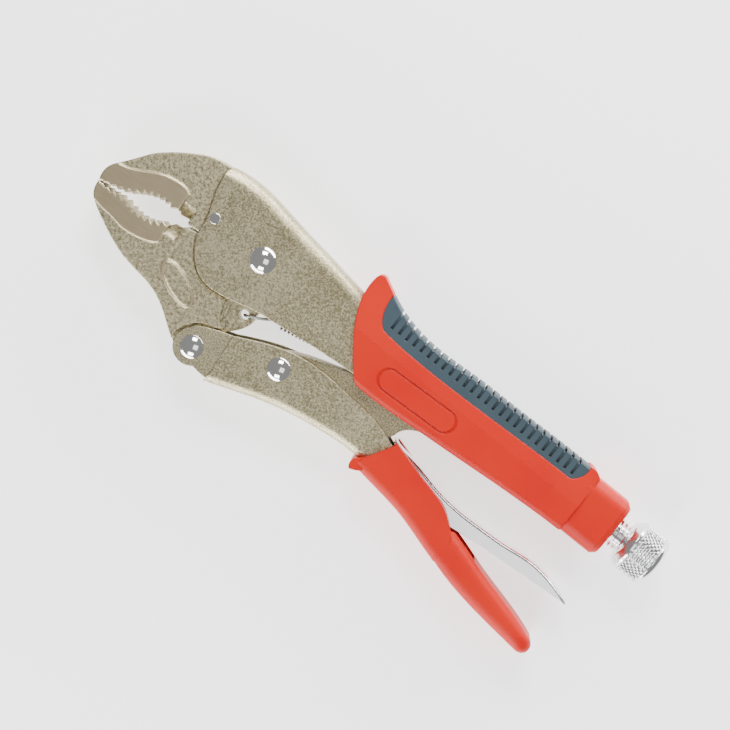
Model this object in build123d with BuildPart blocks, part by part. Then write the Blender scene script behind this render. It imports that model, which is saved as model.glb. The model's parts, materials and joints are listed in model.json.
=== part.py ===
from build123d import *
import math
import os

os.makedirs("parts", exist_ok=True)

# Locking pliers lying on their side, millimetres.
# Origin: middle of the jaw mouth on the mid-plane. +X runs along the upper handle to the knob,
# +Y points from the lower handle to the upper one, +Z follows the rivets.
# All outlines below are drawn from the main pivot, as (along, across).
pivot_x = 46.0
pivot_y = 11.0

# Linkage pivots, from the main pivot
jaw_joint = (-0.7, -42.6)
link_joint = (30.5, -28.4)
lever_joint = (98.0, -32.5)
spring_anchor = (56.0, -7.0)
spring_hole = (7.1, -21.0)
locating_pin_at = (-23.8, 1.1)

# Pressed steel sheet
sheet = 2.3
handle_half = 8.5
channel_half = handle_half - sheet
ear_half = 7.5
ear_inner_half = ear_half - sheet

# Forged jaws, half thicknesses
jaw_half = 6.0
forged_half = 6.7
plate_half = 7.3
hub_half = 5.0
lobe_radius = 12.5

# Moulded grips
grip_half = 10.8
grip_round = 4.2
collar_half = 9.9

# Adjusting screw, M12 x 1.75
screw_radius = 6.0
screw_axis = 3.0
screw_tip = 103.8
knob_start = 173.8
knob_end = 188.8
knob_radius = 10.5

# Running fits
pin_play = 0.05
screw_play = 0.08


# Drawing plane parallel to the mid-plane, centred on the main pivot
def level(height=0.0):
    return Plane(origin=(pivot_x, pivot_y, height), x_dir=(1, 0, 0), z_dir=(0, 0, 1))


# Drawing plane square to the upper handle; its x runs across the tool and its y along the rivets
def across(along):
    return Plane(origin=(pivot_x + along, pivot_y, 0), x_dir=(0, 1, 0), z_dir=(1, 0, 0))


# Closed outline. A point is reached by a straight line, two points in a list by an arc,
# three or more by a smooth curve.
def closed(*stretches):
    end = stretches[-1]
    last = end[-1] if isinstance(end, list) else end
    with BuildLine() as path:
        for stretch in stretches:
            if isinstance(stretch, tuple):
                Line(last, stretch)
                last = stretch
            else:
                if len(stretch) == 2:
                    ThreePointArc(last, stretch[0], stretch[1])
                else:
                    Spline(last, *stretch)
                last = stretch[-1]
    return path.edges()


# Point on a circle round a pivot
def polar(radius, degrees, centre=(0, 0)):
    angle = math.radians(degrees)
    return (centre[0] + radius * math.cos(angle), centre[1] + radius * math.sin(angle))


# Saw-tooth points between root points, each tooth standing off the line by a growing depth
def teeth(roots, side, shallow, deep):
    points = []
    count = len(roots) - 1
    for index in range(count):
        left, right = sorted((roots[index], roots[index + 1]))
        middle = ((left[0] + right[0]) / 2, (left[1] + right[1]) / 2)
        length = math.dist(left, right)
        share = (middle[0] + 66) / 9
        depth = shallow + (deep - shallow) * min(1, max(0, share))
        away = ((left[1] - right[1]) / length, (right[0] - left[0]) / length)
        points.append((middle[0] + side * depth * away[0], middle[1] + side * depth * away[1]))
        points.append(roots[index + 1])
    return points


# Long edges on the two side faces of a piece, between two heights across the tool
def side_edges(shape, half, low, high, before=200, shortest=15):
    found = []
    for edge in shape.edges():
        centre = edge.center()
        flat = abs(abs(centre.Z) - half) < 0.01
        inside = low < centre.Y - pivot_y < high and centre.X - pivot_x < before
        if flat and inside and edge.length > shortest:
            found.append(edge)
    return found


# Rivet with a domed head on each side
def rivet(at, radius, head_radius, half, dome):
    with BuildPart() as body:
        with BuildSketch(level()):
            with Locations(at):
                Circle(radius)
        extrude(amount=half, both=True)
        for side in (1, -1):
            ball = (head_radius**2 + dome**2) / (2 * dome)
            middle = (pivot_x + at[0], pivot_y + at[1], side * (half + dome - ball))
            slab = (pivot_x + at[0], pivot_y + at[1], side * (half + dome / 2))
            head = Pos(*middle) * Sphere(ball, mode=Mode.PRIVATE)
            cap = Pos(*slab) * Box(2 * head_radius + 1, 2 * head_radius + 1, dome, mode=Mode.PRIVATE)
            add(head & cap)
    return body.part


# ---- upper handle ----

handle_edges = closed(
    (-31.3, 18.2),
    [(-28.8, 6.0), (-26.3, -1.6), (-25.3, -7.4), (-22.1, -13.7), (-17.4, -18.2), (-12.1, -20.3),
     (-5.5, -20.3), (5.0, -17.9), (16.2, -15.9)],
    [(30.0, -14.0), (53.8, -11.8), (80.0, -9.8)],
    (146.0, -5.2),
    (146.0, 11.3),
    [(100.0, 11.2), (60.0, 11.8), (37.6, 14.1), (20.0, 16.7), (0.0, 19.4), (-12.0, 21.3),
     (-21.0, 21.7), (-30.4, 20.5)],
)
bend_radius = 4.8
tail_start = 138.0
tail_end = 165.5
tail_radius = 8.2

with BuildPart() as handle_block:
    with BuildSketch(level()):
        make_face(handle_edges)
    extrude(amount=handle_half, both=True)
    fillet(side_edges(handle_block.part, handle_half, 11, 30), bend_radius)

with BuildPart() as handle_space:
    with BuildSketch(level()):
        make_face(closed(
            (-40.0, -40.0),
            (150.0, -40.0),
            (150.0, 9.0),
            [(100.0, 8.9), (60.0, 9.5), (37.6, 11.8), (20.0, 14.4), (0.0, 17.1), (-12.0, 19.0),
             (-21.0, 19.4), (-40.0, 17.0)],
        ))
    extrude(amount=channel_half, both=True)
    fillet(side_edges(handle_space.part, channel_half, 8, 30), bend_radius - sheet)

with BuildPart() as fixed_handle:
    add(handle_block.part)
    add(handle_space.part, mode=Mode.SUBTRACT)
    # rolled tail that carries the screw
    with BuildSketch(across(tail_start)):
        with Locations((screw_axis, 0)):
            Circle(tail_radius)
    extrude(amount=tail_end - tail_start)
    with BuildSketch(across(tail_start - 1)):
        with Locations((screw_axis, 0)):
            Circle(screw_radius + screw_play)
    extrude(amount=tail_end - tail_start + 2, mode=Mode.SUBTRACT)
    with BuildSketch(level()):
        Circle(4.0)
        with Locations(locating_pin_at):
            Circle(2.2)
        with Locations(spring_anchor):
            Circle(1.5)
    extrude(amount=20, both=True, mode=Mode.SUBTRACT)

fixed_handle.part.label = "fixed_handle"
export_step(fixed_handle.part, "parts/fixed_handle.step")

# ---- fixed jaw ----

upper_roots = [(-37.9, -5.4), (-40.7, -5.0), (-43.5, -4.8), (-46.2, -5.3), (-48.9, -6.3),
               (-51.5, -7.6), (-54.0, -9.3), (-56.4, -10.8), (-58.9, -12.0), (-61.5, -13.0),
               (-64.2, -13.9), (-66.6, -14.6)]
seat_radius = lobe_radius + 0.4

fixed_jaw_edges = closed(
    [(-68.4, -11.5), (-67.7, -8.3), (-65.9, -5.6), (-62.1, -0.6), (-57.6, 5.5), (-52.1, 10.5),
     (-45.0, 15.5), (-38.4, 18.7), (-31.8, 19.6)],
    (-31.6, 17.9),
    [(-21.0, 19.2), (-12.0, 18.8), (0.0, 16.9), (6.0, 16.0)],
    polar(seat_radius, 70),
    [polar(seat_radius, 135), polar(seat_radius, 195)],
    (-25.3, -6.6),
    (-30.3, -7.35),
    (-32.1, -5.9),
    (-35.8, -6.6),
    (-36.9, -5.2),
    upper_roots[0],
    *teeth(upper_roots, -1, 0.4, 1.6),
    (-67.6, -14.95),
)

with BuildPart() as fixed_jaw:
    with BuildSketch(level()):
        make_face(fixed_jaw_edges)
    extrude(amount=forged_half, both=True)
    # tang that slides into the folded handle
    with BuildSketch(level()):
        make_face(closed(
            (-31.6, 30.0),
            (-31.6, 17.8),
            [(-29.2, 6.0), (-26.7, -1.6), (-25.7, -8.5)],
            (30.0, -8.5),
            (30.0, 30.0),
        ))
    extrude(amount=10, both=True, mode=Mode.SUBTRACT)
    with BuildSketch(level()):
        make_face(fixed_jaw_edges)
        make_face(closed((-33.0, -20.0), (30.0, -20.0), (30.0, 30.0), (-33.0, 30.0)),
                  mode=Mode.INTERSECT)
    extrude(amount=jaw_half, both=True)
    # ground side plates
    with BuildSketch(level()):
        make_face(fixed_jaw_edges)
        make_face(closed(
            (-72.0, -6.2),
            (-65.5, -5.4),
            [(-60.0, -3.9), (-55.0, -1.1), (-50.0, 1.6), (-45.0, 3.0), (-40.0, 3.2), (-36.9, 1.8)],
            (-37.3, -0.6),
            (-36.6, -5.6),
            (-36.6, -20.0),
            (-72.0, -20.0),
        ), mode=Mode.INTERSECT)
    extrude(amount=plate_half, both=True)
    # wire cutter bevels
    with BuildSketch(across(-36.6)):
        for side in (1, -1):
            make_face(closed((-7.6, side * 0.5), (-7.6, side * 9), (-1.4, side * 9),
                             (-0.6, side * 7.4), (-6.4, side * 0.5)))
    extrude(amount=5.4, mode=Mode.SUBTRACT)
    with BuildSketch(level()):
        with Locations(locating_pin_at):
            Circle(2.2)
    extrude(amount=20, both=True, mode=Mode.SUBTRACT)
    # corners eased to sit in the folded sheet
    add(fixed_handle.part, mode=Mode.SUBTRACT)

fixed_jaw.part.label = "fixed_jaw"
export_step(fixed_jaw.part, "parts/fixed_jaw.step")

with BuildPart() as jaw_locating_pin:
    with BuildSketch(level()):
        with Locations(locating_pin_at):
            Circle(2.2)
    extrude(amount=handle_half + 0.4, both=True)
    fillet(jaw_locating_pin.edges(), 0.35)

jaw_locating_pin.part.label = "jaw_locating_pin"
export_step(jaw_locating_pin.part, "parts/jaw_locating_pin.step")

# ---- moving jaw ----

lower_roots = [(-66.6, -15.6), (-64.3, -16.0), (-61.6, -16.1), (-58.9, -16.0), (-56.2, -15.9),
               (-53.2, -16.1), (-50.3, -16.8), (-47.4, -16.9), (-44.5, -16.6), (-41.8, -15.8),
               (-39.2, -14.4), (-36.8, -12.8)]
hub_radius = 7.3

lower_jaw_edges = closed(
    [(-67.4, -17.6), (-66.1, -20.6), (-63.0, -23.2), (-55.0, -27.4), (-45.0, -31.4),
     (-36.0, -33.2), (-28.0, -34.4), (-20.0, -37.6), (-12.5, -42.6), (-7.1, -46.1)],
    [polar(hub_radius, -90, jaw_joint), polar(hub_radius, 0, jaw_joint)],
    [(6.0, -36.0), (5.6, -32.5), (6.2, -29.7)],
    [(9.4, -26.2), (11.1, -22.6), (10.9, -19.0)],
    [(11.6, -10.0), polar(lobe_radius, 0)],
    [polar(lobe_radius, 100), polar(lobe_radius, 197)],
    (-25.3, -7.4),
    (-30.3, -8.25),
    (-32.1, -10.0),
    (-35.0, -10.5),
    (-36.0, -11.9),
    lower_roots[-1],
    *teeth(lower_roots[::-1], 1, 0.4, 1.6),
    (-67.6, -15.25),
)

with BuildPart() as lower_jaw:
    with BuildSketch(level()):
        make_face(lower_jaw_edges)
    extrude(amount=forged_half, both=True)
    # ground side plates
    with BuildSketch(level()):
        make_face(lower_jaw_edges)
        make_face(closed(
            (-72.0, -22.0),
            (-64.8, -21.9),
            [(-60.0, -22.8), (-55.0, -23.2), (-50.0, -24.0), (-45.0, -23.5), (-40.0, -22.3),
             (-35.2, -19.6)],
            (-35.1, -15.0),
            (-36.4, -11.6),
            (-72.0, -11.6),
        ), mode=Mode.INTERSECT)
    extrude(amount=plate_half, both=True)
    # step that lets the front of the handle swing past
    for side in (1, -1):
        with BuildSketch(level(side * jaw_half)):
            make_face(closed(
                (-27.3, 20.0),
                (-27.0, -3.0),
                [(-26.0, -7.8), (-22.6, -14.3), (-17.7, -18.9), (-12.2, -21.0), (-5.5, -21.0),
                 (5.0, -18.6), (17.0, -16.4)],
                (17.0, 20.0),
            ))
        extrude(amount=side * 5, mode=Mode.SUBTRACT)
    # thin heel that the ears of the lower handle straddle
    for side in (1, -1):
        with BuildSketch(level(side * hub_half)):
            make_face(closed(
                (2.4, -14.0),
                (0.9, -20.6),
                [(2.2, -25.4), (4.9, -29.6)],
                [(0.6, -31.8), (-3.4, -33.3), (-6.6, -36.3), (-8.7, -40.0), (-8.6, -46.6)],
                (-2.0, -56.0),
                (20.0, -56.0),
                (20.0, -6.0),
            ))
        extrude(amount=side * 5, mode=Mode.SUBTRACT)
    # two narrow terraces along its edge
    for step in (1, 2):
        shift = -1.15 * step
        for side in (1, -1):
            with BuildSketch(level(side * (hub_half + 0.5 * step))):
                make_face(closed(
                    (2.4 + shift, -14.0 + 8.0 / 17.6 * shift),
                    (0.9 + shift, -20.6),
                    [(2.2 + shift, -25.4), (4.9 + shift, -29.6)],
                    (12.0, -36.0),
                    (20.0, -6.0),
                ))
            extrude(amount=side * 5, mode=Mode.SUBTRACT)
    # wire cutter bevels
    with BuildSketch(across(-36.0)):
        for side in (1, -1):
            make_face(closed((-9.0, side * 0.5), (-9.0, side * 9), (-15.0, side * 9),
                             (-15.8, side * 7.4), (-10.1, side * 0.5)))
    extrude(amount=5.0, mode=Mode.SUBTRACT)
    # plain oval forged on each side
    for side in (1, -1):
        with BuildSketch(level(side * (forged_half - 0.2))):
            with Locations(Location((-20.0, -27.3), -24)):
                Ellipse(10.2, 4.3)
                Ellipse(9.2, 3.4, mode=Mode.SUBTRACT)
        extrude(amount=side * 0.75)
    with BuildSketch(level()):
        Circle(4.0 + pin_play)
        with Locations(jaw_joint):
            Circle(3.5)
        with Locations(spring_hole):
            Circle(2.1)
    extrude(amount=20, both=True, mode=Mode.SUBTRACT)

lower_jaw.part.label = "lower_jaw"
export_step(lower_jaw.part, "parts/lower_jaw.step")

# ---- rivets and cross pins ----

main_pivot_rivet = rivet((0, 0), 4.0, 5.3, handle_half, grip_half - handle_half)
main_pivot_rivet.label = "main_pivot_rivet"
export_step(main_pivot_rivet, "parts/main_pivot_rivet.step")

jaw_handle_rivet = rivet(jaw_joint, 3.5, 4.6, ear_half + pin_play, 1.7)
jaw_handle_rivet.label = "jaw_handle_rivet"
export_step(jaw_handle_rivet, "parts/jaw_handle_rivet.step")

link_rivet = rivet(link_joint, 3.2, 4.6, handle_half, 1.8)
link_rivet.label = "link_rivet"
export_step(link_rivet, "parts/link_rivet.step")

with BuildPart() as spring_anchor_pin:
    with BuildSketch(level()):
        with Locations(spring_anchor):
            Circle(1.5)
    extrude(amount=handle_half, both=True)

spring_anchor_pin.part.label = "spring_anchor_pin"
export_step(spring_anchor_pin.part, "parts/spring_anchor_pin.step")

with BuildPart() as release_lever_pin:
    with BuildSketch(level()):
        with Locations(lever_joint):
            Circle(1.6)
    extrude(amount=handle_half, both=True)

release_lever_pin.part.label = "release_lever_pin"
export_step(release_lever_pin.part, "parts/release_lever_pin.step")

# ---- lower handle ----

with BuildPart() as lower_block:
    with BuildSketch(level()):
        make_face(closed(
            (9.2, -29.4),
            [(15.0, -26.5), (25.0, -22.1), (35.0, -19.4), (45.0, -18.7), (60.0, -19.4),
             (72.0, -20.7), (81.0, -23.6)],
            [(100.0, -29.3), (112.0, -33.6), (120.0, -38.4), (135.0, -44.0), (152.0, -47.6)],
            (152.0, -51.4),
            [(140.0, -50.0), (120.0, -45.6), (105.0, -41.3), (90.0, -38.0), (76.0, -35.9),
             (65.0, -36.1), (50.0, -38.1), (35.0, -41.5), (20.0, -46.8), (10.4, -50.3)],
            (11.0, -46.0),
        ))
    extrude(amount=handle_half, both=True)
    fillet(side_edges(lower_block.part, handle_half, -60, -20, shortest=100), 3.6)

with BuildPart() as lower_space:
    with BuildSketch(level()):
        make_face(closed(
            (11.6, -20.0),
            (13.2, -46.0),
            [(20.0, -44.4), (35.0, -39.1), (50.0, -35.8), (65.0, -33.8), (76.0, -33.6),
             (90.0, -35.7), (105.0, -39.0), (120.0, -43.3), (140.0, -47.8), (156.0, -49.8)],
            (156.0, -10.0),
            (11.6, -10.0),
        ))
    extrude(amount=channel_half, both=True)
    fillet(side_edges(lower_space.part, channel_half, -60, -20, shortest=100), 1.3)

with BuildPart() as lower_handle:
    add(lower_block.part)
    # ears pressed closer together round the jaw
    with BuildSketch(level()):
        make_face(closed(
            [polar(7.4, 180, jaw_joint), polar(7.4, 135, jaw_joint)],
            [(-4.3, -35.2), (-1.2, -33.4), (3.5, -31.4), (9.2, -29.4)],
            (14.0, -27.6),
            (14.0, -48.4),
            (9.0, -48.7),
            polar(7.4, -50, jaw_joint),
        ))
    extrude(amount=ear_half, both=True)
    add(lower_space.part, mode=Mode.SUBTRACT)
    with BuildSketch(level()):
        make_face(closed((-14.0, -20.0), (-14.0, -60.0), (10.2, -60.0), (10.2, -47.6),
                         (14.0, -46.0), (14.0, -20.0)))
    extrude(amount=ear_inner_half, both=True, mode=Mode.SUBTRACT)
    with BuildSketch(level()):
        with Locations(jaw_joint):
            Circle(3.5 + pin_play)
        with Locations(link_joint):
            Circle(3.2)
        with Locations(lever_joint):
            Circle(1.6)
    extrude(amount=20, both=True, mode=Mode.SUBTRACT)

lower_handle.part.label = "lower_handle"
export_step(lower_handle.part, "parts/lower_handle.step")

# ---- toggle link ----

link_half = 5.6
link_wall = 2.0
nose_centre = (97.0, 2.8)
nose_radius = 4.0

with BuildPart() as toggle_link:
    with BuildSketch(level()):
        make_face(closed(
            [polar(7.0, 180, link_joint), polar(7.0, 115, link_joint)],
            [(36.0, -18.0), (46.0, -14.6), (56.0, -11.4), (70.0, -6.6), (84.0, -0.4),
             polar(nose_radius, 125, nose_centre)],
            [polar(nose_radius, 20, nose_centre), polar(nose_radius, -60, nose_centre)],
            [(94.5, -6.0), (88.6, -12.6), (83.2, -15.7), (81.2, -18.0), (80.4, -20.4)],
            (79.4, -22.4),
            [(70.0, -25.4), (56.0, -29.0), (44.0, -32.4), polar(7.0, -75, link_joint)],
        ))
    extrude(amount=link_half, both=True)
    # folded sheet: open below, web along the top edge
    with BuildSketch(level()):
        make_face(closed(
            (20.0, -23.4),
            (28.0, -23.4),
            [(37.0, -20.2), (56.0, -13.6), (70.0, -8.8), (82.0, -3.6)],
            (88.0, -7.0),
            (88.0, -40.0),
            (20.0, -40.0),
        ))
    extrude(amount=link_half - link_wall, both=True, mode=Mode.SUBTRACT)
    with BuildSketch(level()):
        with Locations(link_joint):
            Circle(3.2 + pin_play)
    extrude(amount=20, both=True, mode=Mode.SUBTRACT)

toggle_link.part.label = "toggle_link"
export_step(toggle_link.part, "parts/toggle_link.step")

# ---- release lever ----

lever_half = 5.8
lever_sheet = 1.3

with BuildPart() as release_lever:
    with BuildSketch(level()):
        make_face(closed(
            (81.2, -20.9),
            [(84.0, -22.4), (90.0, -23.4), (97.5, -24.5), (104.0, -26.0), (111.7, -27.2),
             (120.0, -27.6), (130.0, -27.2), (140.0, -26.5), (150.0, -25.3), (158.0, -25.7),
             (165.0, -27.2), (171.4, -29.3)],
            (171.0, -30.1),
            [(160.0, -30.8), (140.0, -32.3), (124.0, -33.8), (112.0, -35.4)],
            (103.0, -35.9),
            [polar(4.2, -90, lever_joint), polar(4.2, 190, lever_joint)],
            (84.0, -26.0),
        ))
    extrude(amount=lever_half, both=True)
    fillet(side_edges(release_lever.part, lever_half, -28, -24), 1.6)
    with BuildSketch(level()):
        make_face(closed(
            (84.4, -23.8),
            [(90.0, -24.7), (97.5, -25.8), (104.0, -27.3), (111.7, -28.5), (120.0, -28.9),
             (130.0, -28.5), (140.0, -27.8), (150.0, -26.6), (157.0, -26.9), (164.0, -28.5)],
            (166.0, -34.0),
            (150.0, -40.0),
            (84.4, -40.0),
        ))
    extrude(amount=lever_half - lever_sheet, both=True, mode=Mode.SUBTRACT)
    with BuildSketch(level()):
        with Locations(lever_joint):
            Circle(1.6 + pin_play)
    extrude(amount=20, both=True, mode=Mode.SUBTRACT)

release_lever.part.label = "release_lever"
export_step(release_lever.part, "parts/release_lever.step")

# ---- lower grip ----

with BuildPart() as grip_sleeve:
    with BuildSketch(level()):
        make_face(closed(
            [(79.5, -29.2), (76.6, -34.4), (75.0, -38.9)],
            [(90.0, -40.9), (100.0, -42.5), (110.0, -45.2), (122.0, -48.7)],
            (122.0, -37.4),
            [(116.7, -32.9), (112.0, -29.9), (100.0, -26.5), (90.0, -23.8), (83.2, -21.9)],
        ))
    extrude(amount=grip_half, both=True)
    fillet(side_edges(grip_sleeve.part, grip_half, -60, -40), grip_round)

with BuildPart() as grip_tail:
    with BuildSketch(level()):
        make_face(closed(
            (114.0, -37.0),
            (114.0, -45.2),
            [(122.0, -48.4), (140.0, -52.6), (155.0, -54.4), (167.5, -55.6)],
            [(171.4, -52.4), (169.0, -48.6)],
            [(155.0, -44.2), (140.0, -40.4), (130.0, -37.3), (121.5, -34.9)],
        ))
    extrude(amount=grip_half, both=True)
    fillet(side_edges(grip_tail.part, grip_half, -60, -36), grip_round)

with BuildPart() as lower_grip:
    add(grip_sleeve.part)
    add(grip_tail.part)
    # lip that keeps the hand off the steel
    with BuildSketch(level()):
        make_face(closed(
            (77.2, -33.4),
            (75.0, -35.4),
            [(73.4, -38.0), (74.5, -40.8)],
            [(76.2, -40.2), (79.0, -38.4)],
        ))
    extrude(amount=grip_half - 0.6, both=True)
    add(lower_block.part, mode=Mode.SUBTRACT)
    # slot that the lever and link work in
    with BuildSketch(level()):
        make_face(closed(
            (60.0, -10.0),
            (60.0, -34.0),
            (90.0, -34.0),
            (112.0, -37.0),
            (124.0, -41.0),
            (134.0, -40.0),
            (134.0, -10.0),
        ))
    extrude(amount=channel_half, both=True, mode=Mode.SUBTRACT)

lower_grip.part.label = "lower_grip"
export_step(lower_grip.part, "parts/lower_grip.step")

# ---- upper grip and its soft insert ----

insert_seat = (
    [(47.7, 14.6), (49.3, 11.0), (52.4, 8.2)],
    [(60.0, 7.5), (75.0, 7.1), (100.0, 7.6), (120.0, 8.4), (141.6, 8.9)],
    [(144.4, 11.4), (145.6, 16.9)],
)
insert_edges = closed(
    (46.9, 18.4),
    *insert_seat,
    [(130.0, 16.8), (110.0, 16.3), (90.0, 15.9), (75.0, 15.1), (65.0, 15.7), (57.6, 17.1),
     (47.1, 20.9)],
)
crease = 2.5
side_lean = 0.13
groove_count = 26
groove_pitch = 3.475
groove_start = 54.1
groove_width = 1.0

# wedges that lean both sides of the grip inwards above the crease
with BuildPart() as side_wedges:
    with BuildSketch(across(30)):
        for side in (1, -1):
            make_face(closed(
                (crease, side * grip_half),
                (30.0, side * (grip_half - side_lean * (30 - crease))),
                (30.0, side * 20),
                (crease, side * 20),
            ))
    extrude(amount=121.5)

with BuildPart() as upper_grip:
    with BuildSketch(level()):
        make_face(closed(
            [(38.2, 23.6), (37.3, 20.5), (38.1, 12.8), (40.4, 6.8), (46.5, -2.9), (50.6, -8.2),
             (56.4, -14.3)],
            (58.2, -14.7),
            [(70.0, -14.5), (85.0, -13.4), (100.0, -12.3), (120.0, -10.7), (151.0, -9.1)],
            (151.0, 15.6),
            [(148.0, 17.3), (145.0, 17.0)],
            (47.5, 20.7),
            (40.3, 24.3),
        ))
    extrude(amount=grip_half, both=True)
    fillet(side_edges(upper_grip.part, grip_half, -16, -9), 2.6)
    add(side_wedges.part, mode=Mode.SUBTRACT)
    # seat of the soft insert
    with BuildSketch(level()):
        make_face(closed(
            (46.9, 18.4),
            *insert_seat,
            (145.6, 40.0),
            (46.9, 40.0),
        ))
    extrude(amount=20, both=True, mode=Mode.SUBTRACT)
    # collar round the screw
    with BuildSketch(across(149.0)):
        with Locations((3.3, 0)):
            RectangleRounded(24.4, 2 * collar_half, 5.5)
    extrude(amount=16.6)
    with BuildSketch(across(165.6)):
        with Locations((3.3, 0)):
            RectangleRounded(24.4, 2 * collar_half, 5.5)
    extrude(amount=1.9, taper=40)
    add(handle_block.part, mode=Mode.SUBTRACT)
    with BuildSketch(across(145.9)):
        with Locations((screw_axis, 0)):
            Circle(tail_radius)
    extrude(amount=tail_end - 145.9, mode=Mode.SUBTRACT)
    with BuildSketch(across(tail_end - 2)):
        with Locations((screw_axis, 0)):
            Circle(screw_radius + 0.7)
    extrude(amount=6, mode=Mode.SUBTRACT)
    # slot for the link, open below
    with BuildSketch(level()):
        make_face(closed((30.0, -20.0), (132.0, -20.0), (132.0, 3.0), (30.0, 3.0)))
    extrude(amount=channel_half, both=True, mode=Mode.SUBTRACT)
    # blank name panel marked by a shallow groove
    for side in (1, -1):
        with BuildSketch(level(side * grip_half)):
            with Locations(Location((78.6, -4.5), 2.5)):
                SlotOverall(35.4, 9.6)
                SlotOverall(33.8, 8.0, mode=Mode.SUBTRACT)
        extrude(amount=-side * 0.4, mode=Mode.SUBTRACT)

upper_grip.part.label = "upper_grip"
export_step(upper_grip.part, "parts/upper_grip.step")

with BuildPart() as upper_grip_insert:
    with BuildSketch(level()):
        make_face(insert_edges)
    extrude(amount=grip_half, both=True)
    fillet(side_edges(upper_grip_insert.part, grip_half, 12, 22, shortest=80), 4.4)
    add(side_wedges.part, mode=Mode.SUBTRACT)
    for index in range(groove_count):
        with BuildSketch(level()):
            with Locations((groove_start + groove_pitch * index, 20.5)):
                Rectangle(groove_width, 20.0)
        extrude(amount=20, both=True, mode=Mode.SUBTRACT)
    # core that the ribs stand on
    with BuildSketch(level()):
        make_face(closed(
            (51.0, 9.6),
            (142.0, 9.6),
            (143.6, 15.4),
            [(130.0, 15.3), (110.0, 14.9), (90.0, 14.4), (75.0, 13.7), (65.0, 14.2),
             (57.6, 15.6), (50.0, 18.0)],
        ))
    extrude(amount=8.9, both=True)
    add(handle_block.part, mode=Mode.SUBTRACT)

upper_grip_insert.part.label = "upper_grip_insert"
export_step(upper_grip_insert.part, "parts/upper_grip_insert.step")

# ---- adjusting screw and knob ----

stub_radius = 4.0
stub_end = 184.0

with BuildPart() as adjusting_screw:
    with BuildSketch(across(screw_tip + 4)):
        with Locations((screw_axis, 0)):
            Circle(screw_radius)
    extrude(amount=knob_start - screw_tip - 4.3)
    chamfer(adjusting_screw.edges(), 0.8)
    with BuildSketch(across(screw_tip)):
        with Locations((screw_axis, 0)):
            Circle(4.4)
    extrude(amount=stub_end - screw_tip - 20)
    with BuildSketch(across(screw_tip + 20)):
        with Locations((screw_axis, 0)):
            Circle(stub_radius)
    extrude(amount=stub_end - screw_tip - 20)

adjusting_screw.part.label = "adjusting_screw"
export_step(adjusting_screw.part, "parts/adjusting_screw.step")

with BuildPart() as screw_knob:
    with BuildSketch(across(knob_start)):
        with Locations((screw_axis, 0)):
            Circle(knob_radius)
    extrude(amount=knob_end - knob_start)
    chamfer(screw_knob.edges().group_by(Axis.X)[0], 2.0)
    fillet(screw_knob.edges().group_by(Axis.X)[-1], 2.6)
    with BuildSketch(across(knob_start)):
        with Locations((screw_axis, 0)):
            Circle(stub_radius + pin_play)
    extrude(amount=stub_end + 0.3 - knob_start, mode=Mode.SUBTRACT)
    with BuildSketch(across(knob_start)):
        with Locations((screw_axis, 0)):
            Circle(6.6)
    extrude(amount=0.6, mode=Mode.SUBTRACT)

screw_knob.part.label = "screw_knob"
export_step(screw_knob.part, "parts/screw_knob.step")

# ---- return spring ----

wire_radius = 0.55
coil_radius = 2.2
coil_turns = 17
coil_from = (20.0, -14.6)
coil_to = (47.0, -9.0)
coil_length = math.dist(coil_from, coil_to)
coil_tilt = math.degrees(math.atan2(coil_to[1] - coil_from[1], coil_to[0] - coil_from[0]))


# Straight piece of wire with a ball at its far end
def wire_run(start, end):
    way = Vector(*end) - Vector(*start)
    first = Vector(pivot_x + start[0], pivot_y + start[1], start[2])
    rod = Plane(origin=first, z_dir=way) * Pos(0, 0, way.length / 2) * Cylinder(wire_radius, way.length)
    ball = Pos(first + way) * Sphere(wire_radius)
    return rod + ball


coil_axis = Plane(origin=(pivot_x + coil_from[0], pivot_y + coil_from[1], 0),
                  x_dir=(0, 0, 1), z_dir=(coil_to[0] - coil_from[0], coil_to[1] - coil_from[1], 0))
coil_path = coil_axis * Helix(pitch=coil_length / coil_turns, height=coil_length, radius=coil_radius)
coil = sweep(Plane(origin=coil_path @ 0, z_dir=coil_path % 0) * Circle(wire_radius),
             path=coil_path, is_frenet=True)
first_end = coil_path @ 0
last_end = coil_path @ 1
front_wire = [(first_end.X - pivot_x, first_end.Y - pivot_y, first_end.Z),
              (14.0, -17.6, 5.6), (spring_hole[0], spring_hole[1], 5.6),
              (spring_hole[0], spring_hole[1], 1.0)]
rear_wire = [(last_end.X - pivot_x, last_end.Y - pivot_y, last_end.Z),
             (50.5, -7.9, 0.0), (spring_anchor[0] - 2.1, spring_anchor[1] + 0.2, 0.0)]
hook = Pos(pivot_x + spring_anchor[0], pivot_y + spring_anchor[1], 0) * Torus(2.1, wire_radius)
return_spring = coil + hook + Pos(first_end) * Sphere(wire_radius) + Pos(last_end) * Sphere(wire_radius)
for wire in (front_wire, rear_wire):
    for index in range(len(wire) - 1):
        return_spring += wire_run(wire[index], wire[index + 1])

return_spring.label = "return_spring"
export_step(return_spring, "parts/return_spring.step")
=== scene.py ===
import json
import math

import bpy
from mathutils import Matrix, Vector


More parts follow.
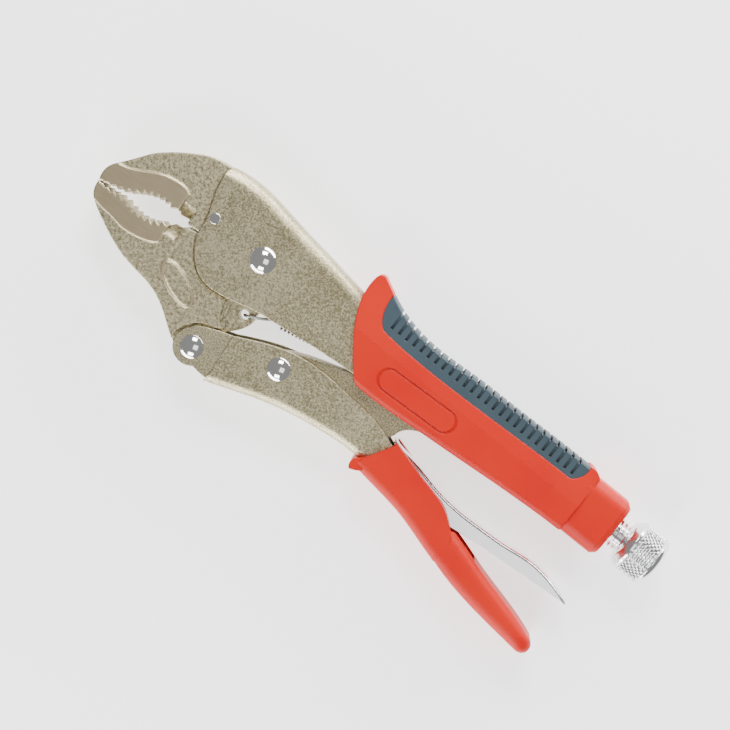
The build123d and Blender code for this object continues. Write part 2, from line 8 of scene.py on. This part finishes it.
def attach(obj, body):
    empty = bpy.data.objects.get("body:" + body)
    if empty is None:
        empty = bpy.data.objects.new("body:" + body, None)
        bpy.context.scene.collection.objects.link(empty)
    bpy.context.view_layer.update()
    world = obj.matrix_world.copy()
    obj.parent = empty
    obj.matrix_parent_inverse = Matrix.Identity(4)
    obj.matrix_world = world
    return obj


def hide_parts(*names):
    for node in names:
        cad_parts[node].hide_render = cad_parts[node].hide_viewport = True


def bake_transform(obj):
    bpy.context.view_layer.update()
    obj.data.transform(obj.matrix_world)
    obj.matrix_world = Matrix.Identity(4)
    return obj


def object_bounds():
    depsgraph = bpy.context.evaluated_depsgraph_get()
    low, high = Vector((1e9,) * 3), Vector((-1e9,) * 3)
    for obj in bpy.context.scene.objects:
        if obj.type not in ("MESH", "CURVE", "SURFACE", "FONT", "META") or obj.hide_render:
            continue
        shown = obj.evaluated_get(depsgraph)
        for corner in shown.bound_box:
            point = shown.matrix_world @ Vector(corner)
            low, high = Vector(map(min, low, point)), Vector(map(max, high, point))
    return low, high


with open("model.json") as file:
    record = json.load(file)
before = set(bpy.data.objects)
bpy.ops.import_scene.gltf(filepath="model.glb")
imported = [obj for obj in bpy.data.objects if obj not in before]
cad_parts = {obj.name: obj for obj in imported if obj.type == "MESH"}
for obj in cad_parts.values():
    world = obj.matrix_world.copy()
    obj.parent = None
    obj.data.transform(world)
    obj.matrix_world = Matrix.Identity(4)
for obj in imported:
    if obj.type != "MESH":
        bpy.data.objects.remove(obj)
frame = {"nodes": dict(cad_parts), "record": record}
nodes = frame["nodes"]
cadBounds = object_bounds()
print("frame loaded:", len(nodes), "CAD pieces")

mm = 0.001
pivot = Vector((0.046, 0.011, 0.0))  # main rivet; sizes below in mm are measured from here


def place(along, across, height=0.0):
    return pivot + Vector((along, across, height)) * mm


# ---- shader helpers ----


class Signal:  # a shader socket that can be used in sums
    def __init__(self, shader, socket):
        self.shader = shader
        self.socket = socket

    def calc(self, operation, *others):
        values = {0: self}
        values.update({index + 1: other for index, other in enumerate(others)})
        return self.shader.node("ShaderNodeMath", {"operation": operation}, values)

    def __add__(self, other):
        return self.calc("ADD", other)

    def __mul__(self, other):
        return self.calc("MULTIPLY", other)

    def __sub__(self, other):
        return self.calc("SUBTRACT", other)

    def __rsub__(self, other):
        return self.calc("MULTIPLY", -1.0) + other

    __radd__ = __add__
    __rmul__ = __mul__

    def above(self, edge, softness):  # 0 below the edge, 1 above it
        settings = {"interpolation_type": "SMOOTHSTEP"}
        values = {"Value": self, "From Min": edge - softness, "From Max": edge + softness}
        return self.shader.node("ShaderNodeMapRange", settings, values)

    def size(self):
        return self.calc("ABSOLUTE")


class Shader:  # one material under construction
    def __init__(self, name):
        self.material = bpy.data.materials.new(name)
        self.material.use_nodes = True
        self.tree = self.material.node_tree
        self.tree.nodes.clear()

    def node(self, kind, settings=None, values=None, output=0):
        made = self.tree.nodes.new(kind)
        for key, value in (settings or {}).items():
            if key == "stops":
                ramp = made.color_ramp.elements
                while len(ramp) < len(value):
                    ramp.new(0.5)
                for stop, (position, colour) in zip(ramp, value):
                    stop.position = position
                    stop.color = (*colour, 1.0)
            else:
                setattr(made, key, value)
        for key, value in (values or {}).items():
            if isinstance(value, Signal):
                self.tree.links.new(value.socket, made.inputs[key])
            else:
                made.inputs[key].default_value = value
        return Signal(self, made.outputs[output]) if made.outputs else None

    def millimetres(self, stretch=(1.0, 1.0, 1.0)):
        spot = self.node("ShaderNodeTexCoord", output="Object")
        scale = tuple(1000.0 * part for part in stretch)
        return self.node("ShaderNodeMapping", values={"Vector": spot, "Scale": scale})

    def noise(self, spot, scale, detail=3.0, roughness=0.5):
        values = {"Vector": spot, "Scale": scale, "Detail": detail, "Roughness": roughness}
        return self.node("ShaderNodeTexNoise", values=values)

    def blend(self, factor, first, second):
        first = first if isinstance(first, Signal) else (*first, 1.0)
        second = second if isinstance(second, Signal) else (*second, 1.0)
        values = {0: factor, 6: first, 7: second}
        return self.node("ShaderNodeMix", {"data_type": "RGBA"}, values, output=2)

    def bump(self, height, strength, distance, under=None):
        values = {"Height": height, "Strength": strength, "Distance": distance * mm}
        if under is not None:
            values["Normal"] = under
        return self.node("ShaderNodeBump", values=values)

    def rounded(self, radius):  # softens sharp corners in the shading
        return self.node("ShaderNodeBevel", {"samples": 6}, {"Radius": radius * mm})

    def finish(self, values):
        surface = self.node("ShaderNodeBsdfPrincipled", values=values)
        self.node("ShaderNodeOutputMaterial", values={"Surface": surface})
        return self.material


# ---- metal finishes ----

sheetFinish = {
    "light": (0.65, 0.58, 0.375),
    "dark": (0.25, 0.215, 0.12),
    "grain": 1.6,
    "bump": 0.6,
    "roughness": 0.34,
}


def makeSheetSteel(name, finish):
    shader = Shader(name)
    spot = shader.millimetres()
    grain = shader.noise(spot, finish["grain"], 6.0, 0.62)
    cloud = shader.noise(spot, 0.06, 3.0)
    specks = shader.noise(spot, 2.6, 2.0)
    tone = (grain * 0.95 + cloud * 0.25 - 0.1).above(0.5, 0.14)
    colour = shader.blend(tone, finish["dark"], finish["light"])
    colour = shader.blend(specks.above(0.70, 0.06) * 0.5, colour, (0.74, 0.72, 0.66))
    rough = grain * 0.22 + finish["roughness"] - cloud * 0.08
    normal = shader.bump(grain + specks * 0.4, finish["bump"], 0.10, shader.rounded(0.5))
    return shader.finish({"Base Color": colour, "Metallic": 0.92, "Roughness": rough, "Normal": normal})


forgedFinish = {
    "light": (0.72, 0.645, 0.42),
    "dark": (0.20, 0.17, 0.095),
    "plate": (0.60, 0.49, 0.30),
    "plateHeight": 7.05,
    "bump": 0.75,
}


def makeForgedSteel(name, finish):
    shader = Shader(name)
    spot = shader.millimetres()
    height = shader.node("ShaderNodeSeparateXYZ", values={"Vector": spot}, output="Z").size()
    plate = height.above(finish["plateHeight"], 0.05)
    coarse = shader.noise(spot, 0.75, 4.0, 0.6)
    pits = shader.noise(spot, 1.9, 3.0, 0.6)
    brushed = shader.noise(shader.millimetres((0.12, 1.6, 1.0)), 1.4, 4.0)
    tone = (coarse * 0.6 + pits * 0.5 - 0.05).above(0.5, 0.17)
    rough = shader.blend(tone, finish["dark"], finish["light"])
    smooth = shader.blend(brushed * 0.5, finish["plate"], (0.70, 0.60, 0.40))
    colour = shader.blend(plate, rough, smooth)
    gloss = (1 - plate) * (pits * 0.2 + 0.36) + plate * (brushed * 0.15 + 0.26)
    relief = (1 - plate) * (coarse + pits * 0.7) + plate * (brushed * 0.12)
    normal = shader.bump(relief, finish["bump"], 0.16, shader.rounded(1.1))
    return shader.finish({"Base Color": colour, "Metallic": 0.92, "Roughness": gloss, "Normal": normal})


def makeChrome(name, colour, roughness, scuff=0.05):
    shader = Shader(name)
    spot = shader.millimetres()
    haze = shader.noise(spot, 0.25, 4.0)
    hairs = shader.noise(shader.millimetres((0.15, 2.5, 2.5)), 1.2, 3.0)
    rough = haze * scuff + hairs * scuff + roughness
    tint = shader.blend(haze, colour, tuple(0.93 * part for part in colour))
    normal = shader.bump(hairs, 0.05, 0.02, shader.rounded(0.25))
    return shader.finish({"Base Color": tint, "Metallic": 1.0, "Roughness": rough, "Normal": normal})


# ---- plastic finishes ----

gripFinish = {
    "red": (0.56, 0.005, 0.0),
    "deep": (0.34, 0.002, 0.0),
    "pale": (0.62, 0.014, 0.001),
    "roughness": 0.36,
}


def makeGripPlastic(name, finish):
    shader = Shader(name)
    spot = shader.millimetres()
    cloud = shader.noise(spot, 0.035, 3.0)
    grain = shader.noise(spot, 3.5, 3.0)
    colour = shader.blend(cloud.above(0.45, 0.25), finish["red"], finish["pale"])
    colour = shader.blend(grain.above(0.66, 0.1) * 0.25, colour, finish["deep"])
    rough = grain * 0.12 + cloud * 0.1 + finish["roughness"]
    normal = shader.bump(grain, 0.12, 0.05, shader.rounded(0.8))
    values = {"Base Color": colour, "Roughness": rough, "Normal": normal}
    values["Specular IOR Level"] = 0.22
    return shader.finish(values)


insertFinish = {
    "slate": (0.016, 0.036, 0.049),
    "worn": (0.030, 0.058, 0.075),
    # groove: painted shade, the near-black colour put into the grooves and recesses where the ribs shade
    # them
    "groove": (0.004, 0.007, 0.011),
    "grooveShadeReach": 1.8,
}


def makeSoftRubber(name, finish):
    shader = Shader(name)
    spot = shader.millimetres()
    cloud = shader.noise(spot, 0.08, 3.0)
    grain = shader.noise(spot, 4.0, 3.0)
    # Painted shade: ambient occlusion darkens the colour towards the groove colour in the grooves and
    # other recesses
    openness = shader.node("ShaderNodeAmbientOcclusion", {"samples": 8, "only_local": True},
                        {"Distance": finish["grooveShadeReach"] * mm}, "AO")
    colour = shader.blend(cloud, finish["slate"], finish["worn"])
    colour = shader.blend(openness.above(0.62, 0.25), finish["groove"], colour)
    rough = grain * 0.15 + 0.48
    normal = shader.bump(grain, 0.15, 0.05, shader.rounded(0.45))
    return shader.finish({"Base Color": colour, "Roughness": rough, "Normal": normal})


finishes = {
    "nickel_sheet": makeSheetSteel("plated sheet steel", sheetFinish),
    "forged_steel": makeForgedSteel("plated forging", forgedFinish),
    "polished_rivet": makeChrome("polished rivet", (0.90, 0.89, 0.87), 0.04),
    "plain_steel": makeChrome("drawn steel wire", (0.42, 0.43, 0.46), 0.28, 0.12),
    "chrome_lever": makeChrome("chromed stamping", (0.86, 0.86, 0.87), 0.07),
    "chrome_screw": makeChrome("chromed turning", (0.84, 0.84, 0.85), 0.13),
    "grip_red": makeGripPlastic("moulded red plastic", gripFinish),
    "grip_slate": makeSoftRubber("slate soft rubber", insertFinish),
}
slots = {part["node"]: part["material_slot"] for part in frame["record"]["subparts"]}
for name, node in nodes.items():
    node.data.materials.clear()
    node.data.materials.append(finishes[slots[name]])
print("finishes made:", len(finishes))


# ---- geometry node helpers ----


class Value:  # a geometry node socket that can be used in sums
    def __init__(self, plan, socket):
        self.plan = plan
        self.socket = socket

    def calc(self, operation, *others):
        values = {0: self}
        values.update({index + 1: other for index, other in enumerate(others)})
        return self.plan.node("ShaderNodeMath", {"operation": operation}, values)

    def __add__(self, other):
        return self.calc("ADD", other)

    def __mul__(self, other):
        return self.calc("MULTIPLY", other)

    def __sub__(self, other):
        return self.calc("SUBTRACT", other)

    def __rsub__(self, other):
        return self.calc("MULTIPLY", -1.0) + other

    def __truediv__(self, other):
        return self.calc("DIVIDE", other)

    __radd__ = __add__
    __rmul__ = __mul__

    def ridge(self):  # 0 at whole numbers, 1 half way between
        return 1 - ((self.calc("FRACT") * 2.0) - 1.0).calc("ABSOLUTE")


class Plan:  # one geometry node tree under construction
    def __init__(self, name, sizes):
        self.tree = bpy.data.node_groups.new(name, "GeometryNodeTree")
        self.tree.interface.new_socket("Geometry", in_out="OUTPUT", socket_type="NodeSocketGeometry")
        self.sizes = sizes
        self.keys = {}
        for label, size in sizes.items():
            kind = "NodeSocketInt" if isinstance(size, int) else "NodeSocketFloat"
            socket = self.tree.interface.new_socket(label, in_out="INPUT", socket_type=kind)
            self.keys[label] = socket.identifier
        self.entry = self.tree.nodes.new("NodeGroupInput")

    def node(self, kind, settings=None, values=None, output=0):
        made = self.tree.nodes.new(kind)
        for key, value in (settings or {}).items():
            setattr(made, key, value)
        for key, value in (values or {}).items():
            for item in value if isinstance(value, list) else [value]:
                if isinstance(item, Value):
                    self.tree.links.new(item.socket, made.inputs[key])
                else:
                    made.inputs[key].default_value = item
        return Value(self, made.outputs[output])

    def size(self, label):
        return Value(self, self.entry.outputs[label])

    def vector(self, x, y, z):
        return self.node("ShaderNodeCombineXYZ", values={"X": x, "Y": y, "Z": z})

    def bar(self):  # a cylinder along Z, from the sizes named Around, Rings, Radius and Length
        return self.node("GeometryNodeMeshCylinder", {"fill_type": "NGON"}, {
            "Vertices": self.size("Around"),
            "Side Segments": self.size("Rings"),
            "Radius": self.size("Radius"),
            "Depth": self.size("Length"),
        })

    def coordinates(self):
        spot = self.node("GeometryNodeInputPosition")
        return [self.node("ShaderNodeSeparateXYZ", values={"Vector": spot}, output=axis) for axis in "XYZ"]

    def build(self, name, shape, material):
        placed = self.node("GeometryNodeRealizeInstances", values={"Geometry": shape})
        painted = self.node("GeometryNodeSetMaterial", values={"Geometry": placed, "Material": material})
        leave = self.tree.nodes.new("NodeGroupOutput")
        self.tree.links.new(painted.socket, leave.inputs[0])
        holder = bpy.data.objects.new(name + "Plan", bpy.data.meshes.new(name + "Plan"))
        bpy.context.collection.objects.link(holder)
        modifier = holder.modifiers.new("plan", "NODES")
        modifier.node_group = self.tree
        for label, size in self.sizes.items():
            modifier[self.keys[label]] = size
        bpy.context.view_layer.update()
        evaluated = holder.evaluated_get(bpy.context.evaluated_depsgraph_get())
        mesh = bpy.data.meshes.new_from_object(evaluated)
        bpy.data.objects.remove(holder)
        piece = bpy.data.objects.new(name, mesh)
        bpy.context.collection.objects.link(piece)
        return piece


alongHandle = Matrix.Rotation(math.radians(90), 4, "Y")  # turns +Z to +X


def settle(piece, matrix, smoothAngle=35):  # place goes into the mesh
    piece.data.transform(matrix)
    for face in piece.data.polygons:
        face.use_smooth = True
    piece.data.set_sharp_from_angle(angle=math.radians(smoothAngle))
    piece.data.update()


# ---- adjusting screw: cut thread ----

threadSizes = {
    "Radius": 6.0,
    "Length": 65.6,
    "Pitch": 1.75,
    "Depth": 0.85,
    "Groove widening": 1.25,
    "Run out depth": 0.5,
    "Around": 56,
    "Rings": 450,
    "Tip radius": 4.4,
    "Tip length": 4.2,
    "Stub radius": 4.0,
    "Stub length": 10.5,
    "End overlap": 0.1,
}
threadStart = 107.9  # along, mm
screwAxis = 3.0  # across, mm


def makeThread(sizes):
    plan = Plan("cutThread", sizes)
    bar = plan.bar()
    x, y, z = plan.coordinates()
    turn = y.calc("ARCTAN2", x) / (2 * math.pi)
    groove = (z / plan.size("Pitch") - turn).ridge()
    groove = (groove * plan.size("Groove widening")).calc("MINIMUM", 1.0)
    fromEnd = plan.size("Length") / 2.0 - z.calc("ABSOLUTE")
    runOut = 1 - fromEnd.calc("MINIMUM", 1.0).calc("MAXIMUM", 0.0)
    cut = groove * plan.size("Depth") + runOut * plan.size("Run out depth")
    keep = 1 - cut / plan.size("Radius")
    moved = plan.vector(x * keep, y * keep, z)
    shape = plan.node("GeometryNodeSetPosition", values={"Geometry": bar, "Position": moved})
    parts = [shape]
    for end, side in (("Tip", -1), ("Stub", 1)):
        rod = plan.node("GeometryNodeMeshCylinder", {"fill_type": "NGON"}, {
            "Vertices": plan.size("Around"),
            "Radius": plan.size(end + " radius"),
            "Depth": plan.size(end + " length"),
        })
        middle = (plan.size("Length") + plan.size(end + " length")) / 2.0 - plan.size("End overlap")
        shift = plan.vector(0.0, 0.0, middle * side)
        parts.append(plan.node("GeometryNodeTransform", values={"Geometry": rod, "Translation": shift}))
    joined = plan.node("GeometryNodeJoinGeometry", values={"Geometry": parts})
    return plan.build("screwThread", joined, finishes["chrome_screw"])


screwThread = makeThread(threadSizes)
threadMiddle = place(threadStart + threadSizes["Length"] / 2, screwAxis)
settle(screwThread, Matrix.Translation(threadMiddle) @ alongHandle @ Matrix.Scale(mm, 4), 60)
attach(screwThread, "adjusting_screw_body")
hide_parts("adjusting_screw")


# ---- knob: diamond knurl ----

knobSizes = {
    "Radius": 10.45,
    "Length": 14.8,
    "Knurls": 34,
    "Knurl depth": 0.8,
    "Knurl pitch": 2.0,
    "Knurl front": 3.2,
    "Knurl rear": 2.6,
    "Knurl fade": 0.4,
    "Front chamfer": 2.2,
    "Rear round": 2.8,
    "Rear share": 0.85,
    "Around": 408,
    "Rings": 96,
}
knobStart = 173.9


def makeKnob(sizes):
    plan = Plan("knurledKnob", sizes)
    bar = plan.bar()
    x, y, z = plan.coordinates()
    turn = y.calc("ARCTAN2", x) / (2 * math.pi) * plan.size("Knurls")
    fromFront = z + plan.size("Length") / 2.0
    fromRear = plan.size("Length") / 2.0 - z
    slant = z / plan.size("Knurl pitch")
    diamonds = (turn + slant).ridge().calc("MINIMUM", (turn - slant).ridge())
    fade = plan.size("Knurl fade")
    knurl = (1 - diamonds) * plan.size("Knurl depth")
    for distance, start in ((fromFront, "Knurl front"), (fromRear, "Knurl rear")):
        inside = (distance - plan.size(start)).calc("MINIMUM", fade).calc("MAXIMUM", 0.0)
        knurl = knurl * (inside / fade)
    chamferIn = (plan.size("Front chamfer") - fromFront).calc("MAXIMUM", 0.0)
    reach = ((plan.size("Rear round") - fromRear) / plan.size("Rear round")).calc("MAXIMUM", 0.0)
    rearIn = (1 - (1 - reach * reach).calc("MAXIMUM", 0.0).calc("SQRT")) * plan.size("Rear round")
    keep = 1 - (knurl + chamferIn + rearIn * plan.size("Rear share")) / plan.size("Radius")
    moved = plan.vector(x * keep, y * keep, z)
    shape = plan.node("GeometryNodeSetPosition", values={"Geometry": bar, "Position": moved})
    return plan.build("knurledKnob", shape, finishes["chrome_screw"])


knurledKnob = makeKnob(knobSizes)
knobMiddle = place(knobStart + knobSizes["Length"] / 2, screwAxis)
settle(knurledKnob, Matrix.Translation(knobMiddle) @ alongHandle @ Matrix.Scale(mm, 4), 50)
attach(knurledKnob, "screw_knob_body")
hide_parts("screw_knob")
print("screw and knob made")


# ---- return spring ----

springSizes = {
    "Turns": 17.0,
    "Coil radius": 2.2,
    "Wire radius": 0.55,
    "Length": 27.57,
    "Steps": 24,
    "Around": 10,
}
springFront = Vector((20.0, -14.6, 0.0))
springRear = Vector((47.0, -9.0, 0.0))
frontHook = [(16.0, -16.8, 5.6), (10.5, -19.3, 5.6), (7.1, -21.0, 5.6), (7.1, -21.0, 1.0)]
rearRing = {"middle": (56.0, -7.0), "radius": 2.1, "reach": (50.5, -7.9, 0.0)}


def makeSpring(sizes):
    plan = Plan("coilSpring", sizes)
    turned = (springRear - springFront).to_track_quat("Z", "Y").to_matrix().to_4x4()
    lay = Matrix.Translation(springFront) @ turned
    local = lay.inverted()
    coil = plan.node("GeometryNodeCurveSpiral", values={
        "Resolution": plan.size("Steps"),
        "Rotations": plan.size("Turns"),
        "Start Radius": plan.size("Coil radius"),
        "End Radius": plan.size("Coil radius"),
        "Height": plan.size("Length"),
    })

    def bend(start, middle, end):
        values = {"Resolution": 14, "Start": start, "Middle": middle, "End": end}
        return plan.node("GeometryNodeCurveQuadraticBezier", values=values)

    coilStart = Vector((sizes["Coil radius"], 0.0, 0.0))
    coilEnd = Vector((sizes["Coil radius"], 0.0, sizes["Length"]))
    hook = [local @ Vector(spot) for spot in frontHook]
    reach = local @ Vector(rearRing["reach"])
    ring = []  # three points that fix the ring's circle
    for degrees in (0, 120, 240):
        angle = math.radians(degrees)
        offset = Vector((math.cos(angle), math.sin(angle), 0.0)) * rearRing["radius"]
        ring.append(local @ (Vector((*rearRing["middle"], 0.0)) + offset))
    near = local @ Vector((rearRing["middle"][0] - rearRing["radius"], rearRing["middle"][1], 0.0))
    loop = plan.node("GeometryNodeCurvePrimitiveCircle", {"mode": "POINTS"}, {
        "Resolution": 40, "Point 1": ring[0], "Point 2": ring[1], "Point 3": ring[2],
    })
    frontWire = [bend(coilStart, hook[0], hook[1]), bend(hook[1], hook[2], hook[3])]
    wires = [coil, *frontWire, bend(coilEnd, reach, near), loop]
    wire = plan.node("GeometryNodeJoinGeometry", values={"Geometry": wires})
    section = plan.node("GeometryNodeCurvePrimitiveCircle", {"mode": "RADIUS"}, {
        "Resolution": plan.size("Around"), "Radius": plan.size("Wire radius"),
    })
    values = {"Curve": wire, "Profile Curve": section, "Fill Caps": True}
    tube = plan.node("GeometryNodeCurveToMesh", values=values)
    piece = plan.build("returnSpring", tube, finishes["plain_steel"])
    settle(piece, Matrix.Translation(pivot) @ Matrix.Scale(mm, 4) @ lay, 60)
    return piece


returnSpring = makeSpring(springSizes)
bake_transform(returnSpring)
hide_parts("return_spring")
print("spring made")


# ---- camera, light and floor ----

shot = {
    "middle": (54.9, -6.85, 4.0),
    "width": 0.2774,
    "lens": 100.0,
    "sensor": 36.0,
    "tilt": 5.0,
    "right": (0.777, 0.629),
}


def placeCamera(shot):
    back = Vector((0.0, math.sin(math.radians(shot["tilt"])), math.cos(math.radians(shot["tilt"]))))
    right = Vector((*shot["right"], 0.0))
    right = (right - back * right.dot(back)).normalized()
    up = back.cross(right)
    distance = shot["width"] * shot["lens"] / shot["sensor"]
    data = bpy.data.cameras.new("camera")
    data.lens = shot["lens"]
    data.sensor_width = shot["sensor"]
    data.clip_start = 0.01
    camera = bpy.data.objects.new("camera", data)
    turned = Matrix((right, up, back)).transposed().to_4x4()
    camera.matrix_world = Matrix.Translation(place(*shot["middle"]) + back * distance) @ turned
    bpy.context.collection.objects.link(camera)
    bpy.context.scene.camera = camera


lamps = {  # where each stands in metres, its size, and its power in watts
    "key": ((-0.25, 0.75, 0.75), (0.5, 0.35), 11.0),
    "fill": ((0.35, -0.75, 0.65), (0.5, 0.35), 6.0),
    "top": ((0.45, 0.10, 1.10), (0.6, 0.6), 2.0),
    "farSide": ((0.1, 0.75, 0.16), (1.0, 0.22), 11.0),
    "nearSide": ((0.1, -0.75, 0.16), (1.0, 0.22), 8.0),
}
lampTarget = Vector((0.1, 0.0, 0.0))
studio = {
    "surround": (1.0, 1.0, 1.0, 1.0),
    "surroundStrength": 0.3,
    "floorColour": (0.92, 0.92, 0.92, 1.0),
    "floorRoughness": 0.7,
    "floorGlow": 1.6,
    "floorHalfWidth": 3.0,
    "floorGap": 0.0001,
}


def addLamp(name, spot, size, power):
    data = bpy.data.lights.new(name, "AREA")
    data.shape = "RECTANGLE"
    data.size, data.size_y = size
    data.energy = power
    lamp = bpy.data.objects.new(name, data)
    lamp.location = spot
    lamp.rotation_euler = (lampTarget - Vector(spot)).to_track_quat("-Z", "Y").to_euler()
    bpy.context.collection.objects.link(lamp)


placeCamera(shot)
for name, (spot, size, power) in lamps.items():
    addLamp(name, spot, size, power)

world = bpy.data.worlds.new("studio")
world.use_nodes = True
background = world.node_tree.nodes["Background"]
background.inputs["Color"].default_value = studio["surround"]
background.inputs["Strength"].default_value = studio["surroundStrength"]
bpy.context.scene.world = world

half = studio["floorHalfWidth"]
floorHeight = cadBounds[0][2] - studio["floorGap"]
corners = [(x, y, floorHeight) for x, y in ((-half, -half), (half, -half), (half, half), (-half, half))]
floorMesh = bpy.data.meshes.new("floor")
floorMesh.from_pydata(corners, [], [(0, 1, 2, 3)])
floor = bpy.data.objects.new("floor", floorMesh)
bpy.context.collection.objects.link(floor)
floorMesh.materials.append(Shader("pale floor").finish({
    "Base Color": studio["floorColour"],
    "Roughness": studio["floorRoughness"],
    "Emission Color": (1.0, 1.0, 1.0, 1.0),
    "Emission Strength": studio["floorGlow"],
}))
print("camera, light and floor placed")
